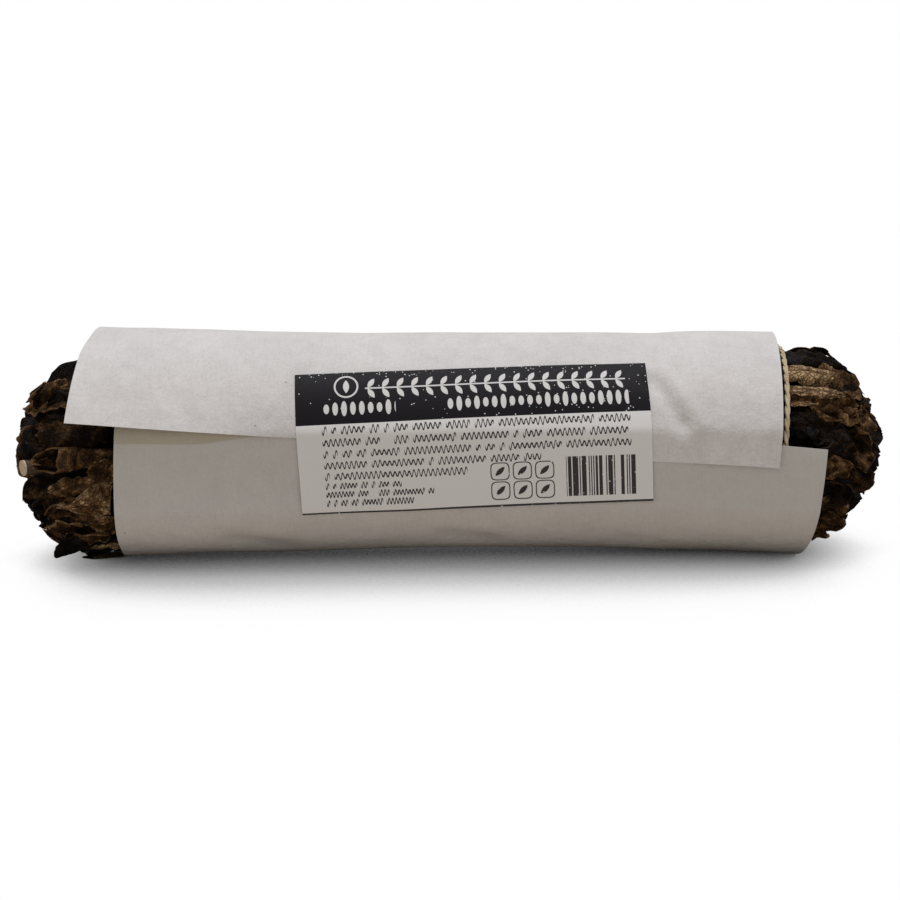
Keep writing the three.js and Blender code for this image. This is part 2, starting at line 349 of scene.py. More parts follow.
def leafMaterial():
    paint = Paint("driedLeaf", Specular_IOR_Level=0.05)
    look = leafFinish
    along, across, _ = paint.split(paint.coordinates("leafGrain"))
    tone, chance, rimAndRidgeLight = paint.split(paint.attribute("leafTone", "Vector"))
    place = paint.join(along, across, chance * 37)
    patches = paint.grain(place, look["patches"], 3, 0.6)
    fine = paint.grain(place, look["specks"], 4, 0.65)
    # a net of veins between slanting ribs, neither quite even
    wander = paint.add("ShaderNodeTexNoise", {}, {"Vector": place, "Scale": 0.9, "Detail": 2}, "Color")
    bent = paint.blendPlace(look["netWander"], place, wander)
    net = paint.cells(bent, 1 / look["netCell"], feature="DISTANCE_TO_EDGE").ramp(0.0, look["netWidth"])
    gap = look["ribGap"]
    ribs = abs((along * 0.8 + abs(across) * 0.9 + patches * 1.2) % gap - gap / 2)
    rib = ribs.ramp(*look["ribWidth"]) * abs(across).ramp(*look["midrib"])
    shade = tone + (patches - 0.5) * look["uneven"] + (fine - 0.5) * look["uneven"]
    # lighter on the rims and ridges and darker in the folds: a painted highlight and painted shade,
    # besides the rims' own paler colour
    shade = shade + (rimAndRidgeLight - look["rimAndRidgeMiddle"]) * look["rimAndRidgeLightening"]
    base = paint.colors(shade.most(0.0), look["tones"])
    # a painted sheen: bluish-grey patches on the darkest tones, standing in for the glint of the
    # resinous upper sides
    paintedSheenShare = patches.ramp(*look["paintedSheenPatches"]) * tone.ramp(*look["paintedSheenTones"])
    base = paint.blend(paintedSheenShare, base, look["paintedSheen"])
    veinShare = (1 - net * rib) * tone.ramp(*look["veinTones"])
    relief = net * 0.6 + rib * 0.5 + fine * 0.5
    return paint.finish(
        Base_Color=paint.blend(veinShare, base, look["vein"]),
        Roughness=look["roughness"] + fine * 0.35 + tone * 0.15,
        Normal=paint.bumps(relief, look["relief"]),
    )


# Leaves. Each leafy stem carries the same seeded leaves as the solids, finer ones among them,
# and on the side that the photograph shows, leaves placed one by one.
sprigs = {
    "around": 7, "swirl": radians(62), "start": radians(-8), "ring": 9.0,
    "core": 4.4, "coreInset": 5, "coreLumps": 0.8, "coreAround": 20, "coreAlong": 50,
}
leafMesh = {
    "thickness": 0.24, "hem": 0.35, "midrib": 0.3, "midribWidth": 0.5, "bendFrom": 0.55,
    "facetSize": 1.7, "facets": 1.2, "creaseSize": 3.8, "creases": 1.1, "lumpSize": 1.5,
    "edgeNotch": 3.8, "tipNotch": 2.6, "jitter": 0.7, "curlChange": 0.3, "waves": 9,
}
# what a leaf is unless it says otherwise
plainLeaf = {
    "form": "leaf", "mesh": (24, 12), "crumple": 0.5, "ragged": 0.16, "hem": 1, "pitch": 0, "bow": 0,
    "twist": 0, "mouth": 0, "swell": False, "proud": 0.1, "past": 0.2, "trim": 1,
    "yaw": 0, "curl": 0.3, "tilt": 0.2, "wave": 0.2, "bend": 0,
}
twineEnds = (-52.5, 57.2)  # where the binding starts and ends; the bundle swells beyond it


def sprigAngle(index, radius):
    turn = (index + 0.5) / sprigs["around"] * 2 * pi
    return sprigs["start"] + turn + sprigs["swirl"] * radius / stick["radius"]


# how far a stem or its leaves are from the middle of the bundle, and in which direction
def stemPlace(index, ring):
    return (0, 0) if index == sprigs["around"] else (ring, sprigAngle(index, ring))


def bundleRadius(x):
    past = smooth(1.2, 5, twineEnds[0] - x if x < 0 else x - twineEnds[1])
    return stick["radius"] + stick["bulge"] * past


# the leafy ends are rounded off, and drawn in underneath
endRounding = {
    -1: {"shoulder": 7.5, "power": 5, "below": 3},
    1: {"shoulder": 8, "power": 3, "below": 3.5},
}


def endReach(side, radius, angle):
    end = endRounding[side]
    share = min(1, radius / (stick["radius"] + stick["bulge"]))
    below = 0.5 - 0.5 * sin(angle)
    return stick["halfLength"] - end["shoulder"] * share ** end["power"] - end["below"] * share * below


# a value past a limit goes on past it only slowly
def eased(value, limit, past):
    return value if value < limit else limit + past * (value - limit)


# the outer leaves stop short at the top of the left end and low on the right end
endTrims = {
    "top": 108, "topHalf": (36, 22), "topDepth": 7, "leftFront": 1.9,
    "lowDepth": 3, "rightFront": 0.9,
}


def endTrim(side, radius, angle):
    facing = smooth(0, 0.5, cos(angle))
    if side < 0:
        front = endTrims["leftFront"] * smooth(2, 8, radius) * facing
        overTop = smooth(*endTrims["topHalf"], degreesApart(angle, endTrims["top"]))
        return endTrims["topDepth"] * smooth(11, 16.5, radius) * overTop + front
    front = endTrims["rightFront"] * smooth(3, 8, radius) * smooth(0.35, 0.1, sin(angle)) * facing
    return endTrims["lowDepth"] * smooth(9, 14, radius) * smooth(-0.25, -0.55, sin(angle)) + front


# half the width of a leaf, from its root to its tip
def leafOutline(along, form):
    if form == "fan":
        return 0.2 + 0.8 * smooth(0.85, 0.35, along)
    if form == "tube":
        return 0.5 + 0.5 * smooth(0, 0.75, along)
    if form == "broken":
        return sqrt(1 - (max(0, abs(along - 0.5) - 0.25) / 0.27) ** 2)
    if along < 0.4:
        return 0.7 + 0.3 * sin(pi / 2 * along / 0.4)
    past = (along - 0.4) / 0.61
    return 1 - past**1.5 if form == "pointed" else sqrt(1 - past**3)


# the leaf's spine, bending away from the bundle or towards it: along, outward and lean
def leafSpine(leaf, length, steps):
    spine = [(0, 0, leaf["pitch"])]
    step = length / steps
    for i in range(steps):
        lean = leaf["pitch"] + leaf["bow"] * (i + 0.5) / steps
        along, outward, _ = spine[-1]
        spine.append((along + step * cos(lean), outward + step * sin(lean), lean))
    return spine


def leafBmesh():
    bm = bmesh.new()
    return bm, bm.loops.layers.uv.new("leafGrain"), bm.verts.layers.float_color.new("leafTone")


def addLeaf(bm, given):
    leaf = {**plainLeaf, **given}
    side, radius, angle, phase = leaf["side"], leaf["radius"], leaf["angle"], leaf["phase"]
    curl, crumple, ragged, width = leaf["curl"], leaf["crumple"], leaf["ragged"], leaf["width"]
    length = leaf["tip"] - leaf["root"]
    steps, rows = leaf["mesh"]
    spine = leafSpine(leaf, length, steps)
    seed = Vector((phase * 7.3, angle * 5.1, radius))
    one, grain, toneLayer = leafBmesh()
    bmesh.ops.create_grid(one, x_segments=steps, y_segments=rows, size=1)
    bmesh.ops.solidify(one, geom=one.faces[:], thickness=1)
    for face in one.faces:
        for loop in face.loops:
            flat = loop.vert.co
            loop[grain].uv = ((flat.x + 1) / 2 * length, flat.y * width / 2)
    for vertex in one.verts:
        p = vertex.co.copy()
        under, aside, along = abs(p.z), abs(p.y), (p.x + 1) / 2
        flat = Vector((along * length / 5, p.y * width / 9, 0)) + seed
        # the outline, curled across the leaf
        half = width / 2 * leafOutline(along, leaf["form"])
        half *= 1 + ragged * noise.noise(flat * leafMesh["edgeNotch"] + seed) * smooth(0.4, 1, aside)
        roll = curl * p.y * (1 + leafMesh["curlChange"] * sin(2.5 * along + phase))
        spread = sin(roll) / roll if abs(roll) > 0.05 else 1
        cup = half * (1 - cos(roll)) / curl if abs(curl) > 0.05 else 0
        # crumples, turned hems, waves, the midrib's groove and the bent tip
        facet = noise.voronoi(flat * leafMesh["facetSize"] + seed)[0][0]
        crease = noise.voronoi(flat * leafMesh["creaseSize"] + seed * 2)[0][0]
        folded = noise.noise(flat * leafMesh["lumpSize"]) + leafMesh["facets"] * (facet - 0.5)
        dents = crumple * (folded + leafMesh["creases"] * (crease - 0.5))
        dents -= leafMesh["hem"] * (smooth(0.62, 1.1, aside) + smooth(0.8, 1.1, along)) * leaf["hem"]
        dents += leaf["wave"] * sin(leafMesh["waves"] * along + phase) * (0.4 + 0.6 * p.y * p.y)
        groove = leafMesh["midrib"] * exp(-((half * p.y / leafMesh["midribWidth"]) ** 2))
        dents -= groove + leaf["bend"] * max(0, along - leafMesh["bendFrom"]) ** 2
        across = half * p.y * spread + leafMesh["thickness"] * under * sin(roll)
        outward = cup + dents + leaf["tilt"] * p.y - leafMesh["thickness"] * under * cos(roll)
        twist = leaf["twist"] * (along - 0.3)
        turned = across * cos(twist) - outward * sin(twist)
        outward = across * sin(twist) + outward * cos(twist)
        # along the spine, with a torn tip and the hollow of a rolled leaf
        reach, rise, lean = spine[min(steps, round(along * steps))]
        moved = leafMesh["jitter"] * crumple * noise.noise(flat * 1.8 + Vector((9, 4, 1)))
        forward = reach - outward * sin(lean) + moved
        torn = leafMesh["tipNotch"] * ragged * noise.noise(Vector((p.y * width / 3, 0, 0)) + seed)
        forward += torn * smooth(0.6, 1, along)
        forward -= leaf["mouth"] * smooth(0.85, 0.25, aside) * smooth(0.3, 1, along)
        # on the bundle, held near its outline
        x = leaf["root"] + forward * cos(leaf["yaw"]) - turned * sin(leaf["yaw"])
        around = forward * sin(leaf["yaw"]) + turned * cos(leaf["yaw"])
        height = radius + rise + outward * cos(lean)
        if leaf["swell"]:
            height += bundleRadius(side * x) - stick["radius"]
        height = max(0.5, eased(height, bundleRadius(side * x) + leaf["proud"], 0.25))
        limit = endReach(side, height, angle) - endTrim(side, height, angle) * leaf["trim"]
        x = eased(x, limit + leaf["past"], 0.4)
        rim = smooth(0.82, 1, max(aside, p.x))
        upper, lower = leaf["tone"], leaf["underTone"]
        tone = upper if under < 0.5 else lower + (upper - lower) * rim
        # the rims and the crumples' ridges get lighter and the folds darker: a painted highlight and
        # painted shade, with the rims also paler in their own colour
        rimAndRidgeHighlight = max(rim, smooth(0.25, 0.8, 0.6 * facet + 0.4 * crease))
        vertex[toneLayer] = (tone, (phase * 0.37) % 1, rimAndRidgeHighlight, 1)
        vertex.co = onBundle(side * x, angle + around / max(radius, 5), height)
    bmesh.ops.recalc_face_normals(one, faces=one.faces)
    addTo(bm, one)


def addTo(bm, one):
    mesh = bpy.data.meshes.new("part")
    one.to_mesh(mesh)
    one.free()
    bm.from_mesh(mesh)
    bpy.data.meshes.remove(mesh)


# a rod along z from -1 to 1, its wall cut into steps
def addRod(bm, around, cuts):
    bmesh.ops.create_cone(bm, cap_ends=True, segments=around, radius1=1, radius2=1, depth=2)
    walls = [edge for edge in bm.edges if abs(edge.verts[0].co.z - edge.verts[1].co.z) > 1]
    bmesh.ops.subdivide_edges(bm, edges=walls, cuts=cuts, use_grid_fill=True)


# The dark crumbs packed inside a leafy stem.
def addCore(bm, angle, ring, seed):
    one, _, toneLayer = leafBmesh()
    addRod(one, sprigs["coreAround"], sprigs["coreAlong"])
    for vertex in one.verts:
        p = vertex.co
        turn = atan2(p.y, p.x)
        reach = endReach(1 if p.z > 0 else -1, ring, angle) - sprigs["coreInset"]
        lumps = sprigs["coreLumps"] * ringNoise(p.z * reach / 4, turn, 1.5, seed)
        around = (sprigs["core"] + lumps) * (1 if abs(p.z) < 0.99 else 0.7)
        vertex[toneLayer] = (0.0, 0.5, 0, 1)
        vertex.co = onBundle(p.z * reach, angle, ring)
        vertex.co += Vector((0, around * cos(turn), around * sin(turn)))
    bmesh.ops.recalc_face_normals(one, faces=one.faces)
    addTo(bm, one)


def newLeaf(side, radius, angle, root, tip, **rest):
    return {"side": side, "radius": radius, "angle": angle, "root": root, "tip": tip, **rest}


# where each kind of leaf starts its own row of chances
leafSeeds = {"solid": 101, "filler": 5001, "chip": 8001, "heart": 900, "tone": 77}
# the leaves that the solids have too: radius, places round the stem, width, length
solidLayers = [
    (stick["radius"] - 0.4, [-0.27, 0.23], 12, 18),
    (11.8, [0.02], 12, 13),
    (7.6, [0.1], 9, 12),
]
# how they vary: name, middle and spread
solidVariety = [("yaw", 0, 0.12), ("curl", 0, 0.8), ("tilt", 0.55, 0.2), ("wave", 0.4, 0.2),
                ("phase", 3, 3), ("bend", 5, 4)]


def solidLeaves(index, side):
    draw = seeded(leafSeeds["solid"] + 10 * index + side)

    def vary(middle, spread):
        return middle + spread * (2 * draw() - 1)

    leaves = []
    for radius, turns, width, length in solidLayers:
        for turn in turns:
            angle = sprigAngle(index + turn, radius)
            reach = endReach(side, radius, angle) + vary(-0.6, 1.2)
            leaf = newLeaf(side, radius, angle, reach - length, reach)
            for name, middle, spread in [("width", width, 1.5), *solidVariety]:
                leaf[name] = vary(middle, spread)
            leaf["swell"] = radius > stick["radius"] - 2
            leaf["radius"] -= 1.6 if leaf["swell"] else 0.5
            leaf["crumple"] = 0.9
            leaves.append(leaf)
    return leaves


# layers of finer leaves: radius, places round the stem, width, length
fillers = [(16.4, [-0.4, 0.05, 0.4], 6.5, 12), (14, [-0.38, 0.05, 0.4], 6.5, 10),
           (9.6, [-0.3, 0.3], 6, 9), (5.8, [-0.2, 0.35], 5, 8)]
# the side that the photograph shows, where small seeded leaves make way for those placed one by one
shownFront = (radians(-84), radians(96))


def inShownFront(angle):
    turned = (angle + pi) % (2 * pi) - pi
    return shownFront[0] < turned < shownFront[1]


def fillerLeaves(index, side):
    draw = seeded(leafSeeds["filler"] + 20 * index + side)
    leaves = []
    for radius, turns, width, length in fillers:
        for turn in turns:
            angle = sprigAngle(index + turn + 0.12 * (draw() - 0.5), radius)
            reach = endReach(side, radius, angle) - 3 * draw() ** 2 + 0.2
            leaf = newLeaf(
                side, radius - 0.6 * draw(), angle, reach - length, reach,
                width=width * (0.7 + 0.7 * draw()), yaw=0.9 * (draw() - 0.5), curl=4 * (draw() - 0.5),
                tilt=1.6 * (draw() - 0.3), wave=0.4, phase=6 * draw(), bend=12 * draw() - 3,
                crumple=0.7 + 0.8 * draw(), pitch=0.5 * (draw() - 0.5), bow=1.2 * (draw() - 0.6),
                twist=1.6 * (draw() - 0.5), swell=radius > 15, mesh=(16, 9), ragged=0.15,
            )
            if radius < 16 or not inShownFront(angle):
                leaves.append(leaf)
    return leaves


# broken pieces of leaf that stand at all angles among the others
chips = {"perSide": 16, "lengths": (3, 7), "mesh": (10, 7), "outer": 16.6, "depth": 12, "heart": 3.5}


def chipLeaves(index, side, ring):
    draw = seeded(leafSeeds["chip"] + 20 * index + side)
    shortest, longest = chips["lengths"]
    leaves = []
    for i in range(chips["perSide"]):
        if ring:
            radius = chips["outer"] - chips["depth"] * draw() ** 1.7
            angle = sprigAngle(index + draw() - 0.5, radius)
        else:
            radius, angle = chips["heart"] * draw(), 6.28 * draw()
        length = shortest + draw() * (longest - shortest)
        reach = endReach(side, radius, angle) - (12 * draw() ** 1.5 if radius > 12 else 2 * draw())
        leaves.append(newLeaf(
            side, radius - 0.8 * draw(), angle, reach - length, reach,
            width=length * (0.5 + 0.6 * draw()), yaw=2.4 * (draw() - 0.5), curl=4 * (draw() - 0.5),
            tilt=2 * (draw() - 0.5), wave=0.3, phase=6 * draw(), crumple=0.5 + 0.6 * draw(),
            pitch=1.4 * (draw() - 0.5), bow=1.5 * (draw() - 0.5), twist=2 * (draw() - 0.5),
            swell=radius > 14, mesh=chips["mesh"], form="broken", ragged=0.12,
        ))
    return [leaf for leaf in leaves if leaf["radius"] < 13 or not inShownFront(leaf["angle"])]


# three leaves round the middle stem
def heartLeaves(side):
    draw = seeded(leafSeeds["heart"] + side)
    leaves = []
    for turn in range(3):
        angle = turn * 2 * pi / 3 + draw()
        tip = stick["halfLength"] - 0.8 * turn - 0.2
        leaf = newLeaf(side, 2.4, angle, stick["halfLength"] - 14, tip, width=6, tilt=0.4, bend=3)
        leaf["phase"] = turn + 0.3
        leaves.append(leaf)
    return leaves


# a leaf placed one by one
def leafAt(side, place, radius, root, tip, width, crumple, curl, tone, underTone=0.5, **extra):
    known = {"width": width, "crumple": crumple, "curl": curl, "tone": tone, "underTone": underTone}
    known.update(phase=place * 0.21 + radius, form="broken", mesh=(36, 20), ragged=0.38, trim=0)
    known.update(extra)
    return newLeaf(side, radius, radians(place), root, tip, **known)


# side, degrees, radius, root, tip, width, crumple, curl, and the tones of the upper and under sides
photographed = [
    # left end, from the top down
    leafAt(-1, 66, 16.0, 55, 67.6, 6, 0.7, -0.7, 0.3, bow=-0.5, form="leaf"),
    leafAt(-1, 56, 16.6, 56, 65.4, 4, 0.7, -0.5, 0.5),
    leafAt(-1, 51, 15.2, 61, 70.9, 6.5, 1.5, 0.9, 0.4, pitch=0.1, form="leaf"),
    leafAt(-1, 45, 16.3, 56, 66.5, 5.5, 0.8, 0.6, 0.04, 0.3),
    leafAt(-1, 37, 12.8, 63, 72.1, 5, 1.2, -1.1, 0.48, past=0.8),
    leafAt(-1, 30, 16.0, 56, 68, 8, 0.45, -0.7, 0.24, 0.4),
    leafAt(-1, 23, 14.6, 58, 68.4, 4.5, 0.9, -0.8, 0.16, 0.3),
    leafAt(-1, 9, 16.8, 54, 68.6, 16, 0.45, -2.8, 0.46, 0.2, pitch=0.13, proud=2.6, past=2.5,
            form="tube", hem=0, mouth=4.6, yaw=0.05),
    leafAt(-1, 1, 16.3, 54, 59.5, 4.2, 0.9, 1.2, 0.6),
    leafAt(-1, -9, 14.0, 60, 70.8, 6, 1.1, -0.8, 0.24, past=0.3),
    leafAt(-1, -7, 16.6, 56, 66.4, 3.8, 0.8, -0.7, 0.6, 0.3, form="leaf", proud=0.6),
    leafAt(-1, -24, 16.2, 58, 66.4, 6.5, 0.8, -0.8, 0.42, form="leaf"),
    leafAt(-1, -20, 17.4, 56, 65, 7.5, 0.3, -0.4, 0.74, 0.3, form="fan", proud=1.9, yaw=0.14),
    leafAt(-1, -16, 14.2, 60, 67.8, 5, 1.0, 0.9, 0.16),
    leafAt(-1, -34, 16.7, 54, 60, 4.4, 0.6, 1.1, 0.56, proud=0.6),
    leafAt(-1, -37, 15.6, 58, 66, 6, 0.9, -0.6, 0.1),
    leafAt(-1, -42, 16.7, 57, 62.5, 4, 0.6, 1.5, 0.44, 0.5, proud=0.6),
    leafAt(-1, -51, 16.6, 56, 68.4, 6, 0.5, -0.6, 0.03, 0.3, bow=0.5, proud=0.8, past=1.5, form="leaf"),
    leafAt(-1, -60, 17.1, 54, 61.2, 3, 0.3, -0.4, 0.86, proud=0.7, form="leaf"),
    leafAt(-1, -76, 16.8, 54, 63, 6, 0.5, -0.4, 0.05),
    # right end, from the top down
    leafAt(1, 78, 17.4, 55, 68.2, 8, 0.6, -0.6, 0.02, 0.5, bow=-0.25, proud=0.5, past=1.5,
            form="pointed"),
    leafAt(1, 59.5, 17.2, 56.6, 65, 5.6, 0.25, -1.5, 0.95, 0.4, proud=0.8, form="leaf"),
    leafAt(1, 58, 14.8, 62, 69.8, 6.5, 1.0, 0.7, 0.5, 0.6, past=0.8),
    leafAt(1, 45.5, 17.1, 57, 65.8, 4.4, 0.25, -1.6, 0.9, 0.4, proud=0.7, form="pointed", yaw=-0.04),
    leafAt(1, 38, 16.8, 56.6, 61.6, 3.6, 0.6, 1.7, 0.6, 0.85, proud=0.5),
    leafAt(1, 39, 15.8, 60.5, 68.2, 6, 1.2, 0.5, 0.48, wave=0.4, form="leaf"),
    leafAt(1, 30, 15.2, 61, 68.5, 5, 1.2, -0.6, 0.5, yaw=0.3),
    leafAt(1, 38, 12.7, 63, 72.4, 6, 1.4, -0.9, 0.5, past=1.2),
    leafAt(1, 23, 16.4, 55, 61.5, 5.5, 0.7, -0.6, 0.02, 0.4),
    leafAt(1, 18, 15.6, 60, 65.8, 5.5, 0.8, -0.5, 0.06, 0.4, yaw=-0.15),
    leafAt(1, 13, 13.0, 63, 71.0, 7, 1.5, 0.9, 0.36, 0.85, past=0.6),
    leafAt(1, 8, 14.6, 60, 67.5, 4.5, 1.0, 0.7, 0.12, yaw=0.2),
    leafAt(1, -1, 15.8, 60, 67, 4.6, 1.2, -0.6, 0.46),
    leafAt(1, -10, 13.8, 63, 71.4, 6, 1.2, -0.7, 0.22, past=1),
    leafAt(1, -17, 15.4, 61, 68, 4.5, 1.2, 0.8, 0.14),
    leafAt(1, -28, 16.0, 59, 66.8, 4.6, 1.1, -0.7, 0.36),
    leafAt(1, -36, 14.4, 60, 67.2, 6, 1.0, 0.6, 0.08),
    leafAt(1, -42, 16.4, 57, 67.2, 7, 0.7, -0.7, 0.46, wave=0.3, past=0.8, form="leaf"),
    leafAt(1, -54, 16.8, 56, 64.6, 5, 0.6, -0.5, 0.6, form="leaf"),
]
# chance of each tone on a leaf that the photograph doesn't single out: dark, brown, golden, tan
toneChances = [(0.46, 0.05), (0.76, 0.26), (0.93, 0.48), (1.0, 0.75)]
shownShade = 0.75  # such leaves are darker on the side that the photograph shows
# the leaf at the left end that is rolled into a tube: the others make room for it below this radius
rolledLeaf = {"angle": radians(9), "halfSpan": 0.36, "room": 12.2}


def chosenTone(share):
    return next(tone for chance, tone in toneChances if share <= chance)


def underRolledLeaf(leaf):
    beside = abs(sin(leaf["angle"] - rolledLeaf["angle"])) < rolledLeaf["halfSpan"]
    return leaf["side"] < 0 and beside and cos(leaf["angle"]) > 0


def makeLeaves():
    material = leafMaterial()
    draw = seeded(leafSeeds["tone"])
    for index in range(sprigs["around"] + 1):
        ring, angle = stemPlace(index, sprigs["ring"])
        bm, _, _ = leafBmesh()
        addCore(bm, angle, ring, index)
        leaves = []
        for side in (-1, 1):
            if ring:
                leaves += solidLeaves(index, side) + fillerLeaves(index, side)
            else:
                leaves += heartLeaves(side)
            leaves += chipLeaves(index, side, ring)
        for leaf in leaves:
            leaf["tone"] = chosenTone(draw())
            leaf["underTone"] = chosenTone(draw())
            if inShownFront(leaf["angle"]):
                leaf["tone"] *= shownShade
            if underRolledLeaf(leaf):
                leaf["radius"] = min(leaf["radius"], rolledLeaf["room"])
            addLeaf(bm, leaf)
        for leaf in photographed:
            turn = (leaf["angle"] - sprigAngle(-0.5, leaf["radius"])) / (2 * pi) * sprigs["around"]
            if int(turn % sprigs["around"]) == index:
                addLeaf(bm, leaf)
        finishPiece(f"leafySprig{index + 1}", bm, material, [f"leaves_{index + 1}"])
    print("leaves made")


# Woody stems, with a cut end that shows among the left leaves.
stems = {
    "radius": 1.3, "ring": 10.2, "inset": 4.6, "rightEnd": 58, "shown": 6, "shownInset": 2.3,
    "bend": 2.2, "bendFrom": (-60, -75), "slant": 0.67, "knots": 0.1, "around": 16, "along": 40,
    "bark": [(0.3, (0.02, 0.012, 0.007)), (0.7, (0.09, 0.055, 0.03))],
    "wood": [(0.3, (0.35, 0.25, 0.15)), (0.7, (0.62, 0.5, 0.36))],
}


def stemMaterial():
    paint = Paint("woodyStem", Roughness=0.85)
    fibres = paint.grain(paint.stretch(paint.coordinates(), (0.15, 2, 2)), 1.2, 4, 0.7)
    bark = paint.colors(fibres, stems["bark"])
    wood = paint.colors(fibres, stems["wood"])
    color = paint.blend(paint.attribute("cutEnd", "Fac"), bark, wood)
    return paint.finish(Base_Color=color, Normal=paint.bumps(fibres, 0.15))


def makeStems():
    material = stemMaterial()
    for index in range(sprigs["around"] + 1):
        shown = index == stems["shown"]
        ring, angle = stemPlace(index, stems["ring"])
        left = stems["shownInset" if shown else "inset"] - endReach(-1, ring, 0)
        right = stems["rightEnd"]
        bm = bmesh.new()
        addRod(bm, stems["around"], stems["along"])
        cuts = [edge for edge in bm.edges if all(abs(v.co.z) > 0.999 for v in edge.verts)]
        settings = {"segments": 1, "profile": 0.5, "affect": "EDGES", "material": -1}
        bmesh.ops.bevel(bm, geom=cuts, offset=0.004, **settings)
        cutLayer = bm.verts.layers.float.new("cutEnd")
        for vertex in bm.verts:
            p = vertex.co
            # the last ring of the wall moves out to the cut, so that the cut's edge stays crisp
            nearCut = 0.94 <= abs(p.z) <= 0.99
            share = (0.003 if p.z < 0 else 0.997) if nearCut else (p.z + 1) / 2
            x = left + share * (right - left)
            turn = atan2(p.y, p.x)
            size = hypot(p.x, p.y) * stems["radius"]
            size *= 1 + stems["knots"] * ringNoise(x / 4, turn, 2, index * 9)
            vertex[cutLayer] = 1 if abs(p.z) > 0.99 else 0
            bent = Vector((0, -stems["bend"], 1)) * (smooth(*stems["bendFrom"], x) if shown else 0)
            ends = smooth(0.01, 0, share) - smooth(0.99, 1, share)
            slant = stems["slant"] * size * cos(turn) * ends
            vertex.co = onBundle(x, angle, ring) + bent
            vertex.co += Vector((-slant, size * cos(turn), size * sin(turn)))
        bmesh.ops.recalc_face_normals(bm, faces=bm.faces)
        finishPiece(f"woodyStem{index + 1}", bm, material, [f"stem_{index + 1}"])
    print("stems made")


# Twine of two plies, wound along the bundle and back.
twine = {
    "ring": 17.1, "turns": 5, "pointsPerTurn": 170, "endEase": 0.7, "startAngle": radians(80),
    "ply": 0.31, "apart": 0.16, "twist": 4.3, "crossing": 0.1,
    "tones": [(0.25, (0.3, 0.2, 0.1)), (0.5, (0.55, 0.44, 0.29)), (0.75, (0.7, 0.6, 0.44))],
}


def twineMaterial():
    paint = Paint("cottonTwine", Roughness=0.9)
    place = paint.coordinates()
    patches = paint.grain(place, 0.35, 3, 0.6)
    fibres = paint.grain(place, 5, 4, 0.7)
    color = paint.colors(patches * 0.6 + fibres * 0.4, twine["tones"])
    return paint.finish(Base_Color=color, Normal=paint.bumps(fibres, 0.12))


# where the twine runs, with its turns closer together at the two ends
def twinePoint(direction, share):
    low, high = twineEnds
    ease = twine["endEase"]
    along = (1 - ease) * (2 * share - 1) - ease * cos(pi * share)
    angle = direction * twine["turns"] * 2 * pi * (1 - share) + twine["startAngle"]
    return (low + high) / 2 + (high - low) / 2 * along, angle


def makeTwine():
    data = bpy.data.curves.new("twine", "CURVE")
    data.dimensions = "3D"
    data.bevel_depth = twine["ply"]
    data.bevel_resolution = 1
    data.use_fill_caps = True
    count = twine["turns"] * twine["pointsPerTurn"]
    for direction in (-1, 1):
        for ply in (0, pi):
            line = data.splines.new("POLY")
            line.points.add(count)
            for i, point in enumerate(line.points):
                x, angle = twinePoint(direction, i / count)
                wound = twine["turns"] * 2 * pi * twine["ring"] * i / count
                phase = ply + wound / twine["twist"] * 2 * pi
                radius = twine["ring"] + twine["apart"] * sin(phase) + twine["crossing"] * direction
                point.co = (*onBundle(x + twine["apart"] * cos(phase), angle, radius), 1)
    cord = addObject("cord", data)
    bpy.context.view_layer.update()
    finished = cord.evaluated_get(bpy.context.evaluated_depsgraph_get())
    mesh = bpy.data.meshes.new_from_object(finished)
    bpy.data.objects.remove(cord)
    bm = bmesh.new()
    bm.from_mesh(mesh)
    finishPiece("bindingTwine", bm, twineMaterial(), ["twine"])
    print("twine made")


# The paper: one sheet, rolled a little askew, with its outer edge loose towards the left.
paper = {
    "width": 116.2, "length": 124.2, "thickness": 0.14, "skew": radians(3.6),
    "across": 170, "along": 170, "wrapRadius": 19.2,
    "cornerX": 62.1, "cornerAngle": radians(8.4), "sag": 0.75, "sagAt": 30, "sagWidth": 14,
    "radius": 18.65, "leftFlare": 2.8, "rightFlare": 1.12,
    "middle": 19.8, "leftDrop": 0.0, "rightDrop": 1.9,
    "step": 0.18, "stepFade": (7, 30), "flapReach": 13, "flapLift": 2.9, "flapMost": 2.5,
    "flapPinned": -24, "flapSpan": 38, "rightLift": 0.5, "rightFrom": (34, 48),
    "flatAngle": -4, "flatHalf": 20, "flatFade": 65, "flatDepth": 0.9, "flatFrom": -50, "flatTo": 66,
    "tuck": 0.9, "tuckHalf": (62, 25), "tuckEnd": (-25, -62),
    "waves": 0.16, "waveLength": 14, "waveRound": 2.2,
}
# soft folds in the paper: from (x, degrees) to (x, degrees), height and width
folds = [
    ((34.2, 42), (38.4, 19), -0.85, 1.4),
    ((36.8, 44), (41.2, 20), 0.55, 1.5),
    ((-63, 88), (-59, 70), -0.9, 3.0),
    ((-50, -14), (-12, -12), -0.22, 4.5),
    ((-36, -48), (-28, -56), -0.7, 2.6),
    ((0, -48), (7, -54), -0.7, 2.4),
    ((20, -40), (30, -48), -0.3, 3.5),
    ((-50, 95), (-20, 80), 0.25, 4.0),
    ((5, 120), (35, 100), -0.3, 4.0),
    ((-45, 150), (-38, 200), 0.4, 3.0),
    ((15, 170), (28, 215), -0.4, 3.5),
    ((40, 140), (52, 165), 0.3, 2.5),
]
perDegree = 0.33  # millimetres round the roll


def sheetAxis(x):
    share = x / stick["halfLength"]
    return paper["middle"] - paper["leftDrop" if x < 0 else "rightDrop"] * share * share


def sheetRadius(x):
    share = x / stick["halfLength"]
    return paper["radius"] + paper["leftFlare" if x < 0 else "rightFlare"] * share * share


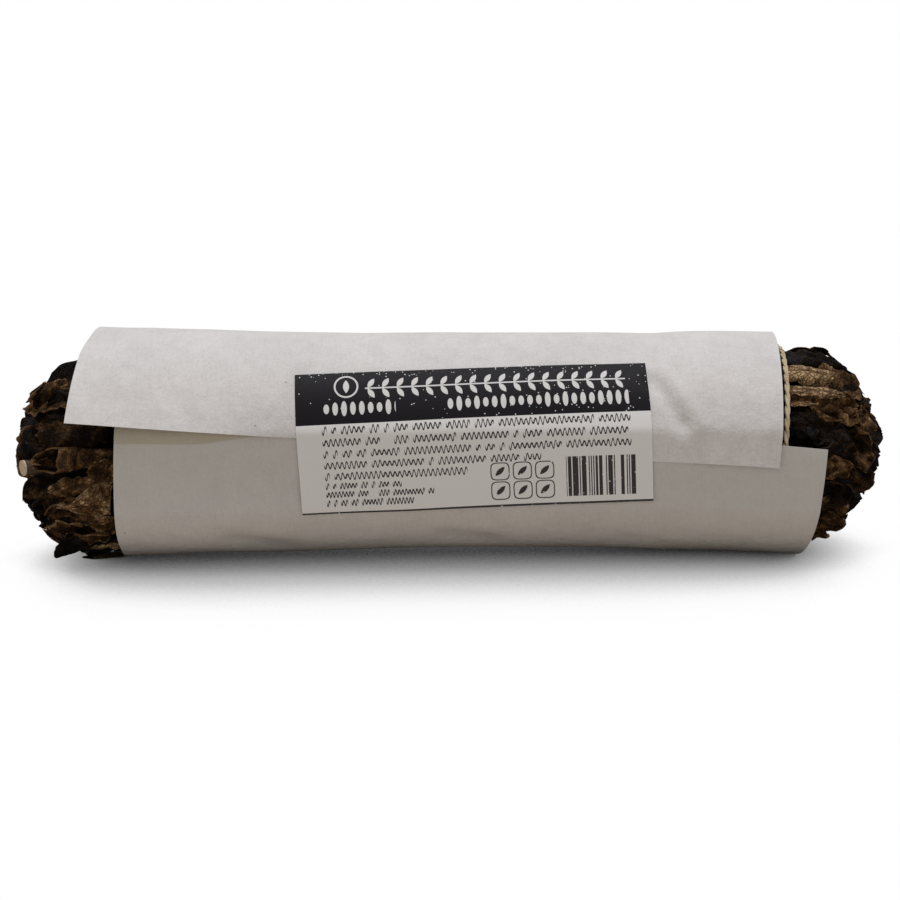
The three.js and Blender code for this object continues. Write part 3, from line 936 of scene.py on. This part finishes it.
# the front of the roll is pressed flat, and the left end is less flared underneath
def flattened(x, angle):
    start, end = paper["flatFrom"], paper["flatTo"]
    amount = smooth(start - 16, start + 8, x) * smooth(end + 8, end - 16, x)
    turned = degreesApart(angle, paper["flatAngle"])
    radius = sheetRadius(x)
    halfChord = radians(min(turned, paper["flatHalf"]))
    chord = (radius - paper["flatDepth"]) / cos(halfChord) - radius
    lower = smooth(*paper["tuckHalf"], degreesApart(angle, 270)) * smooth(*paper["tuckEnd"], x)
    return amount * chord * smooth(paper["flatFade"], paper["flatHalf"], turned) - paper["tuck"] * lower


def onSheet(x, angle, height):
    radius = sheetRadius(x) + height + flattened(x, angle)
    return Vector((x, -radius * cos(angle), sheetAxis(x) + radius * sin(angle)))


# long soft waves in the paper, which the label follows
def sheetWaves(x, angle):
    return paper["waves"] * ringNoise(x / paper["waveLength"], angle, paper["waveRound"])


def foldHeight(x, angle):
    height = 0
    around = degrees(angle) % 360
    here = Vector((x, around * perDegree))
    for start, end, lift, width in folds:
        first = Vector((start[0], start[1] % 360 * perDegree))
        last = Vector((end[0], end[1] % 360 * perDegree))
        line = last - first
        share = min(1, max(0, (here - first).dot(line) / line.length_squared))
        away = (here - first - line * share).length
        sameSide = abs(around - (start[1] % 360)) < 90
        height += lift * exp(-((away / width) ** 2)) * sameSide
    return height


# how far the outer layer stands off the inner one: a step at its edge, and the loose flap
def flapRise(x, toEdge):
    step = paper["step"] * (1 - smooth(*paper["stepFade"], toEdge))
    loose = max(0, (paper["flapPinned"] - x) / paper["flapSpan"])
    free = max(0, 1 - toEdge / paper["flapReach"])
    rightEnd = paper["rightLift"] * smooth(*paper["rightFrom"], x)
    return step + (min(paper["flapLift"] * loose, paper["flapMost"]) + rightEnd) * free * free


paperFinish = {
    "tones": [(0.565, 0.542, 0.54), (0.605, 0.583, 0.58)], "underLayerShade": (0.49, 0.468, 0.452),
    "mottled": (0.4, 0.375, 0.36), "speck": (0.16, 0.13, 0.1), "speckSize": (0.018, 0.034),
    # the painted shadow under the loose flap: its colour, width, soft edge and taper
    "paintedFlapShadow": (0.4, 0.365, 0.28), "paintedFlapShadowWidth": 6.4, "paintedFlapShadowEdge": 0.25, "paintedFlapShadowTaper": 0.045,
    "threads": (3.2, 0.35, 0.35), "roughness": 0.78,
}


def paperMaterial():
    paint = Paint("wrappingPaper", Specular_IOR_Level=0.25)
    look = paperFinish
    place = paint.coordinates()
    cloud = paint.grain(place, 0.05, 3, 0.6)
    blotch = paint.grain(place, 0.3, 3, 0.6)
    fibres = paint.grain(place, 2.4, 4, 0.7)
    threads = paint.grain(paint.stretch(place, look["threads"]), 1, 3, 0.6)
    specks = paint.cells(place, 0.15).ramp(*look["speckSize"], 1, 0)
    # a painted shadow under the loose flap's edge: an olive strip along the sheet's inner edge, widest
    # at its left end
    fromCorner, rolled, _ = paint.split(paint.coordinates("sheet"))
    fromLeft = paper["width"] - fromCorner
    paintedFlapShadowDepth = rolled + (cloud - 0.5) * 0.5 + fromLeft * look["paintedFlapShadowTaper"]
    paintedFlapShadowDepth = paintedFlapShadowDepth + fromLeft.ramp(12, 26) * 1.6
    paintedFlapShadow = paintedFlapShadowDepth.ramp(look["paintedFlapShadowWidth"], look["paintedFlapShadowWidth"] - look["paintedFlapShadowEdge"])
    light = paint.blend(cloud.ramp(0.35, 0.65), *look["tones"])
    # painted shade: the sheet's inner layer, below the flap's edge, is darker
    light = paint.blend(rolled.ramp(30, 8), light, look["underLayerShade"])
    light = paint.blend(paintedFlapShadow, light, look["paintedFlapShadow"])
    mottle = blotch.ramp(0.35, 0.7) * 0.18 + threads.ramp(0.4, 0.75) * 0.15
    mottle = mottle + fibres.ramp(0.35, 0.75) * 0.22
    color = paint.blend(specks * 0.6, paint.blend(mottle, light, look["mottled"]), look["speck"])
    relief = paint.bumps(blotch, 0.3, 1.0, paint.bumps(fibres * 0.6 + threads * 0.4, 0.09, 0.9))
    return paint.finish(Base_Color=color, Roughness=look["roughness"] + fibres * 0.15, Normal=relief)


# A thin sheet: mapped gives each point's place on the flat sheet, in millimetres, and rolled its place
# on the stick. The label is made in the same way.
def makeSheet(name, sheet, mapName, mapped, rolled, material, replaces):
    bm = bmesh.new()
    mapLayer = bm.loops.layers.uv.new(mapName)
    bmesh.ops.create_grid(bm, x_segments=sheet["across"], y_segments=sheet["along"], size=1)
    for face in bm.faces:
        for loop in face.loops:
            loop[mapLayer].uv = mapped(loop.vert.co)
    for vertex in bm.verts:
        vertex.co = rolled(*mapped(vertex.co))
    bmesh.ops.recalc_face_normals(bm, faces=bm.faces)
    middle = Vector((0, 0, stick["middle"]))
    if sum(face.normal.dot(face.calc_center_median() - middle) for face in bm.faces) < 0:
        bmesh.ops.reverse_faces(bm, faces=bm.faces)
    bmesh.ops.solidify(bm, geom=bm.faces[:], thickness=sheet["thickness"])
    finishPiece(name, bm, material, replaces)


def makePaper():
    def mapped(p):
        return (paper["width"] * (1 - p.x) / 2, paper["length"] * (1 - p.y) / 2)

    def rolledUp(fromCorner, rolled):
        skew = paper["skew"]
        x = paper["cornerX"] - fromCorner * cos(skew) - rolled * sin(skew)
        arc = rolled * cos(skew) - fromCorner * sin(skew)
        arc += paper["sag"] * exp(-(((x - paper["sagAt"]) / paper["sagWidth"]) ** 2))
        angle = paper["cornerAngle"] - arc / paper["wrapRadius"]
        rise = flapRise(x, paper["length"] - rolled) + sheetWaves(x, angle) + foldHeight(x, angle)
        point = onSheet(x, angle, rise)
        point.z = max(point.z, 0)
        return point

    makeSheet("rolledPaper", paper, "sheet", mapped, rolledUp, paperMaterial(), ["paper_sheet"])
    print("paper made")


# The label: a dark band with leafy print, and wavy rows, framed leaves and bars below it.
label = {
    "width": 58, "height": 24.2, "thickness": 0.1, "tilt": radians(2.2), "x": 4.4,
    "angle": radians(13), "above": 0.36, "across": 60, "along": 40,
}
labelPrint = {
    "paper": (0.65, 0.637, 0.635), "ink": (0.0075, 0.006, 0.0085), "bandLow": 3.1, "lineRule": 0.34,
    "garland": {"low": -17.5, "high": 25.3, "middle": 8.95, "period": 2.4,
                "leaf": (0.98, 0.44), "stem": 0.13},
    "seeds": {"middle": 5.6, "period": 1.45, "half": 0.46, "runs": [(-24.8, -12.6), (-4.5, 25.6)]},
    "emblem": {"right": -20.6, "up": 9.4, "ring": (1.72, 2.02), "leaf": (1.2, 0.5)},
    "tiles": {"low": -11.1, "high": -4.4, "left": 2.1, "right": 13.1, "wide": 3.67, "tall": 3.35,
              "frame": (1.4, 1.58), "leaf": (1.1, 0.42)},
    "bars": {"low": -10.8, "high": -3.9, "left": 14.8, "right": 26.2, "perMillimetre": 5.3,
             "bare": 0.34},
    "rowsLeft": -24.8, "rowGaps": 0.17, "stroke": 0.115, "steepStroke": 0.24,
}
# blocks of wavy rows: top edge, pitch, and where each row ends on the right
wavyRows = [(3.1, 1.95, [25.6, 25.6, 25.6, 10.8, -0.2]), (-6.65, 1.45, [-12.3, -7.0, -10.4])]


def labelMaterial():
    paint = Paint("printedLabel", Specular_IOR_Level=0.12)
    right, up, _ = paint.split(paint.coordinates("labelPrint"))
    place = paint.coordinates()
    top = label["height"] / 2

    def between(value, low, high):
        return (value > low) * (value < high)

    def inside(area):
        return between(right, area["left"], area["right"]) * between(up, area["low"], area["high"])

    def square(value):
        return value * value

    def chance(first, second):
        cell = paint.join(first, second)
        return paint.add("ShaderNodeTexWhiteNoise", {"noise_dimensions": "2D"}, {"Vector": cell})

    def leafShape(along, across, half, width):
        return (abs(across) / width + ((along - half) / half) ** 2) < 1

    # light print on the band: a garland of paired leaves, a row of seeds and a ringed leaf
    garland, seeds, emblem = labelPrint["garland"], labelPrint["seeds"], labelPrint["emblem"]
    inStep = (right - garland["low"]) % garland["period"] - garland["period"] / 2
    outward = abs(up - garland["middle"])
    along = (inStep + 0.75) * 0.55 + (outward - 0.1) * 0.835
    across = (inStep + 0.75) * 0.835 - (outward - 0.1) * 0.55
    leaves = leafShape(along, across, *garland["leaf"]).most(outward < garland["stem"])
    light = leaves * between(right, garland["low"], garland["high"])
    inSeed = right % seeds["period"] - seeds["period"] / 2
    tall = chance((right / seeds["period"]).floor(), 7).ramp(0.2, 0.8, 0.8, 1.25)
    seed = (square(inSeed / seeds["half"]) + square((up - seeds["middle"]) / tall)) < 1
    for low, high in seeds["runs"]:
        light = light.most(seed * between(right, low, high))
    aside, above = right - emblem["right"], up - emblem["up"]
    half, width = emblem["leaf"]
    ring = between((square(aside) + square(above)) ** 0.5, *emblem["ring"])
    light = light.most(ring).most(leafShape(above + half, aside, half, width))

    # dark print below it: wavy rows, framed leaves and upright bars
    dark = up < -top + labelPrint["lineRule"]
    fromLeft = right - labelPrint["rowsLeft"]
    for blockTop, pitch, ends in wavyRows:
        row = ((blockTop - up) / pitch).floor()
        height = (blockTop - up) % pitch - pitch / 2
        wave = pitch * 0.4
        cell = (fromLeft / wave).floor()
        turn = fromLeft * (pi * 2 / wave)
        size = chance(cell, row).ramp(0, 1, 0.16, 0.3) * pitch
        stroke = labelPrint["stroke"] + abs((turn + pi / 2).sine()) * labelPrint["steepStroke"]
        line = abs(height - turn.sine() * size) < stroke
        end = ends[0]
        for index, (last, following) in enumerate(zip(ends, ends[1:])):
            end = (row > index + 0.5) * (following - last) + end
        drawn = chance(cell + 0.5, row + 0.5) > labelPrint["rowGaps"]
        inRow = between(right, labelPrint["rowsLeft"], end) * between(row, -0.5, len(ends) - 0.5)
        dark = dark.most(line * drawn * inRow)
    tiles, bars = labelPrint["tiles"], labelPrint["bars"]
    tileX = (right - tiles["left"]) % tiles["wide"] - tiles["wide"] / 2
    tileY = (up - tiles["low"]) % tiles["tall"] - tiles["tall"] / 2
    frameReach = (square(square(tileX)) + square(square(tileY))) ** 0.25
    half, width = tiles["leaf"]
    tileLeaf = leafShape((tileX + tileY) * 0.7 + half, (tileX - tileY) * 0.7, half, width)
    dark = dark.most(between(frameReach, *tiles["frame"]).most(tileLeaf) * inside(tiles))
    bar = (right * bars["perMillimetre"]).floor()
    bar = paint.add("ShaderNodeTexWhiteNoise", {"noise_dimensions": "1D"}, {"W": bar}) > bars["bare"]
    dark = dark.most(inside(bars) * bar)

    # the ink is thin in places and has flaked off in specks, most at the top and on the right
    wear = paint.grain(place, 1.7, 5, 0.75)
    flakeChance = paint.split(paint.cells(place, 2.6, "Color"))[0]
    most = up.ramp(top - 1.6, top, 0.02, 0.3).most(right.ramp(-5, 27, 0.01, 0.16))
    flakes = (paint.cells(place, 2.6) < 0.3) * (flakeChance < most)
    band = (up > labelPrint["bandLow"]) * (1 - light * 0.9) * (1 - flakes * 0.8)
    ink = band.most(dark * (wear.ramp(0.3, 0.4) * 0.2 + 0.75) * (1 - flakes))
    color = paint.blend(ink, labelPrint["paper"], labelPrint["ink"])
    return paint.finish(Base_Color=color, Roughness=0.5 + wear * 0.15, Normal=paint.bumps(wear, 0.03))


def makeLabel():
    def mapped(p):
        return (p.x * label["width"] / 2, p.y * label["height"] / 2)

    def laidOn(right, up):
        tilt = label["tilt"]
        x = label["x"] + right * cos(tilt) - up * sin(tilt)
        arc = right * sin(tilt) + up * cos(tilt)
        angle = label["angle"] + arc / sheetRadius(x)
        return onSheet(x, angle, label["above"] + sheetWaves(x, angle) + 0.5 * foldHeight(x, angle))

    makeSheet("printedLabel", label, "labelPrint", mapped, laidOn, labelMaterial(), ["paper_label"])
    print("label made")


makeCamera()
makeStudio()
makeLeaves()
makeStems()
makeTwine()
makePaper()
makeLabel()
